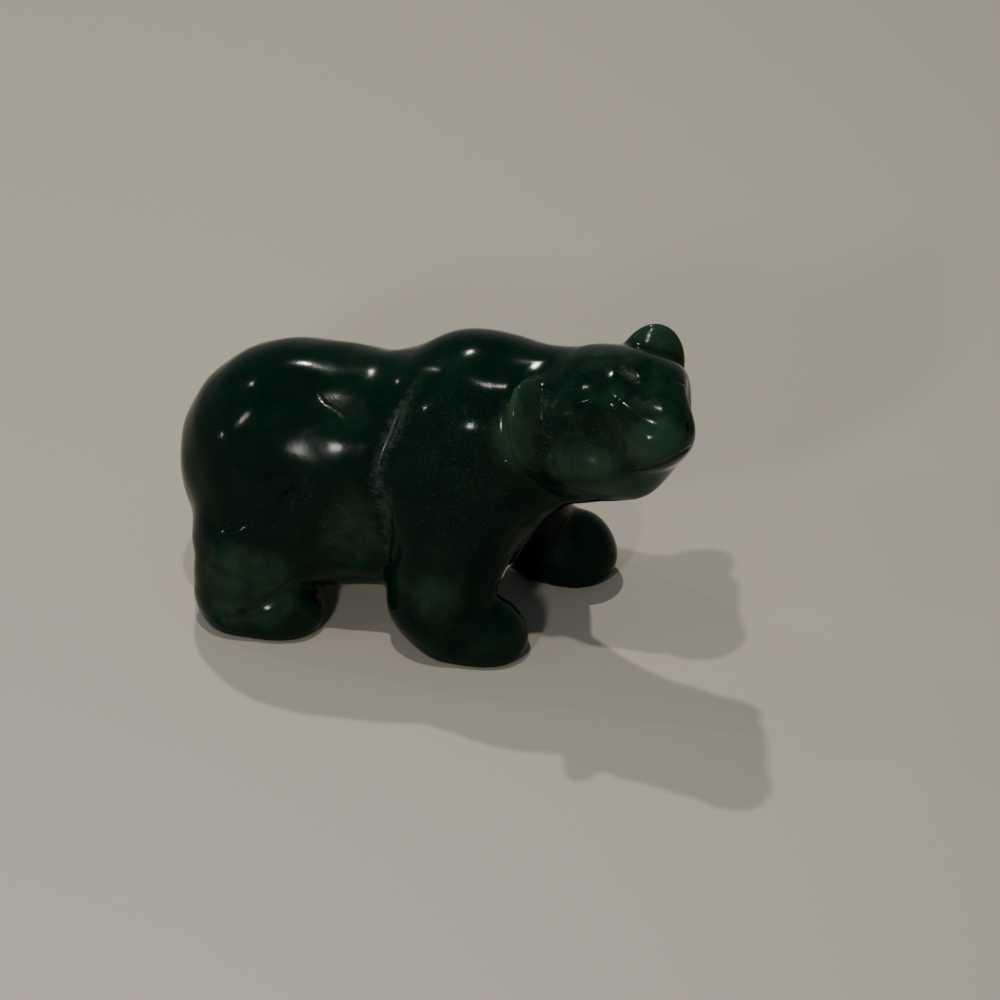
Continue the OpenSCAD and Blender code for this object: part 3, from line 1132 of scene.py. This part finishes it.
@dataclass
class Workshop:
    """Turns the lattice's net into Blender pieces, one for each region."""
    lattice: Lattice
    stone: bpy.types.Material
    thin_depth: float = 3.0
    hollow_reaches: tuple[float, ...] = (0.9, 0.3)

    def attributes(self) -> dict[str, Array]:
        """What the stone's finish reads at each vertex.

        Returns:
            frost; the strength of the painted glow, as of light through the stone; thin, which is 1 where the
            stone is thinnest behind the skin and drives more painted glow; and hollow, which is 1 in a tight
            crease and drives painted shade there.
        """
        net = self.lattice
        carving = net.carving
        at = net.points[:, net.skin_points]
        normal = net.normals[:, net.skin_points]
        made = {}
        inward = carving.skin(at - self.thin_depth * normal)
        hollow = np.zeros(at.shape[1], np.float32)
        for reach in self.hollow_reaches:
            outward = carving.skin(at + reach * normal)
            hollow = np.maximum(hollow, np.clip(1.0 - outward / reach, 0.0, 1.0))
        for name, value in (
            ("frost", carving.frost(at)),
            ("pale", carving.pale(at)),
            ("thin", np.clip(1.0 + inward / self.thin_depth, 0.0, 1.0)),
            ("hollow", hollow),
        ):
            whole = np.zeros(net.points.shape[1], np.float32)
            whole[net.skin_points] = value
            made[name] = whole
        return made

    def build(self) -> list[bpy.types.Object]:
        """Makes every region's closed piece.

        Returns:
            The pieces.
        """
        net = self.lattice
        quads, owners, shown = net.faces()
        values = self.attributes()
        pieces = []
        for label, name in enumerate(net.carving.names(), 1):
            mine = owners == label
            pieces.append(self.piece(name, quads[mine], shown[mine], values))
        return pieces

    def piece(self, name: str, quads: Array, shown: Array, values: dict[str, Array]) -> bpy.types.Object:
        """One region's piece, whose smooth normals on the skin are those of the field.

        Args:
            name: the region.
            quads: its faces, as the net's vertices.
            shown: which faces are on the skin.
            values: what the finish reads.
        Returns:
            The finished piece, riding on the bear's body in place of its CAD node.
        """
        net = self.lattice
        used, corners = np.unique(quads, return_inverse=True)
        corners = corners.reshape(-1).astype(np.int32)
        mesh = bpy.data.meshes.new(name)
        mesh.vertices.add(len(used))
        mesh.vertices.foreach_set("co", (net.points[:, used].T * METRES).astype(np.float32).ravel())
        mesh.loops.add(len(corners))
        mesh.loops.foreach_set("vertex_index", corners)
        mesh.polygons.add(len(quads))
        mesh.polygons.foreach_set("loop_start", np.arange(0, len(corners), 4, dtype=np.int32))
        mesh.update(calc_edges=True)
        mesh.polygons.foreach_set("use_smooth", np.ones(len(quads), bool))
        flat = np.empty(len(quads) * 3, np.float32)
        mesh.polygons.foreach_get("normal", flat)
        normals = np.repeat(flat.reshape(-1, 3), 4, axis=0)
        on_skin = np.repeat(shown, 4)
        normals[on_skin] = net.normals[:, quads.ravel()[on_skin]].T
        mesh.normals_split_custom_set(normals)
        for key, whole in values.items():
            attribute = mesh.attributes.new(key, "FLOAT", "POINT")
            attribute.data.foreach_set("value", whole[used])
        mesh.materials.append(self.stone)
        piece = bpy.data.objects.new(f"{name}_stone", mesh)
        bpy.context.scene.collection.objects.link(piece)
        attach(piece, BODY)
        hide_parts(name)
        on_show = int(shown.sum())
        LOG.info("%s: %d vertices, %d faces, %d on the skin", piece.name, len(used), len(quads), on_show)
        return piece


@dataclass(frozen=True)
class Lamp:
    """A round studio lamp, placed by the direction that it lights from. Angles are degrees, power is watts."""
    azimuth: float
    height: float
    power: float
    size: float
    colour: Vec3 = (1.0, 0.93, 0.84)
    distance: float = 0.4


@dataclass
class Studio:
    """Floor, lamps and camera round the bear. The aim is in millimetres, and other lengths are metres."""
    camera_azimuth: float = 12.0
    camera_height: float = 33.0
    camera_distance: float = 0.6
    frame_width: float = 0.1
    sensor: float = 36.0
    nearest: float = 0.01
    aim: Vec3 = (5.355, 0.0, 12.95)
    floor_half: float = 0.42
    floor_colour: Colour = (0.375, 0.350, 0.296, 1.0)
    floor_roughness: float = 0.8
    floor_gloss: float = 0.2
    paper_scale: float = 1500.0
    paper_strength: float = 0.15
    paper_height: float = 0.0001
    wall: Colour = (0.5, 0.48, 0.45, 1.0)
    ceiling: Colour = (0.13, 0.19, 0.22, 1.0)
    room_strength: float = 0.7
    lamps: tuple[Lamp, ...] = (
        Lamp(azimuth=-151.0, height=57.0, power=0.92, size=0.012),
        Lamp(azimuth=-12.0, height=75.0, power=0.27, size=0.0075, distance=0.25),
        Lamp(azimuth=-104.0, height=41.0, power=0.10, size=0.008),
        Lamp(azimuth=-60.0, height=30.0, power=0.10, size=0.008),
        Lamp(azimuth=-9.0, height=27.0, power=0.25, size=0.022, colour=(1.0, 0.97, 0.93), distance=0.25),
        Lamp(azimuth=-75.0, height=8.0, power=0.09, size=0.02, colour=(0.75, 0.88, 1.0)),
    )

    @staticmethod
    def heading(azimuth: float, height: float) -> Vector:
        """Unit vector towards an azimuth, 0 abreast of the bear's right side and growing to its nose."""
        a, h = math.radians(azimuth), math.radians(height)
        return Vector((math.sin(a) * math.cos(h), -math.cos(a) * math.cos(h), math.sin(h)))

    def camera(self) -> None:
        """Long lens, aimed at the middle of the view."""
        data = bpy.data.cameras.new("camera")
        data.sensor_width = self.sensor
        data.lens = self.sensor * self.camera_distance / self.frame_width
        camera = bpy.data.objects.new("camera", data)
        away = self.heading(self.camera_azimuth, self.camera_height)
        aim = Vector(self.aim) * METRES
        camera.location = aim + away * self.camera_distance
        camera.rotation_euler = away.to_track_quat("Z", "Y").to_euler()
        data.clip_start = self.nearest
        bpy.context.scene.collection.objects.link(camera)
        bpy.context.scene.camera = camera

    def light(self) -> None:
        """Round lamps and a dim room, paler at the height of the floor than overhead."""
        aim = Vector(self.aim) * METRES
        for number, lamp in enumerate(self.lamps):
            data = bpy.data.lights.new(f"lamp_{number}", "AREA")
            data.shape = "DISK"
            data.size = lamp.size
            data.energy = lamp.power
            data.color = lamp.colour
            towards = self.heading(lamp.azimuth, lamp.height)
            light = bpy.data.objects.new(data.name, data)
            light.location = aim + towards * lamp.distance
            light.rotation_euler = towards.to_track_quat("Z", "Y").to_euler()
            bpy.context.scene.collection.objects.link(light)
        world = bpy.data.worlds.new("room")
        bench = Bench(world)
        towards = bench.add("ShaderNodeTexCoord").outputs["Generated"]
        height = bench.wire(bench.add("ShaderNodeSeparateXYZ", {}, {0: towards}), "Z")
        colour = bench.blend(height.between(0.0, 0.75), self.wall, self.ceiling)
        background = bench.add("ShaderNodeBackground", {}, {"Color": colour, "Strength": self.room_strength})
        bench.add("ShaderNodeOutputWorld", {}, {"Surface": background.outputs[0]})
        bpy.context.scene.world = world

    def floor(self) -> None:
        """A wide plain sheet at the height of the soles."""
        mesh = bpy.data.meshes.new("floor")
        half = self.floor_half
        corners = [(-half, -half, 0), (half, -half, 0), (half, half, 0), (-half, half, 0)]
        mesh.from_pydata(corners, [], [(0, 1, 2, 3)])
        material = bpy.data.materials.new("floor")
        bench = Bench(material)
        place = bench.add("ShaderNodeTexCoord").outputs["Object"]
        paper = bench.noise(place, self.paper_scale)
        bump = bench.add("ShaderNodeBump", {}, {
            "Strength": self.paper_strength, "Distance": self.paper_height, "Height": paper})
        shader = bench.add("ShaderNodeBsdfPrincipled", {}, {
            "Base Color": self.floor_colour, "Roughness": self.floor_roughness, "Normal": bump.outputs[0],
            "Specular IOR Level": self.floor_gloss})
        bench.add("ShaderNodeOutputMaterial", {}, {"Surface": shader.outputs[0]})
        mesh.materials.append(material)
        floor = bpy.data.objects.new("floor", mesh)
        bpy.context.scene.collection.objects.link(floor)


def main() -> None:
    """Builds the studio, then the bear."""
    logging.basicConfig(level=logging.INFO, format="%(name)s: %(message)s")
    studio = Studio()
    studio.camera()
    studio.light()
    studio.floor()
    limbs = tuple(Limb(side, end) for end in End for side in Side)
    carving = Carving(Trunk(), Head(), limbs)
    spacing = FULL_SPACING
    lattice = Lattice(carving, spacing)
    lattice.fill()
    lattice.net()
    lattice.settle()
    Workshop(lattice, Nephrite().make()).build()


if __name__ == "__main__":
    main()
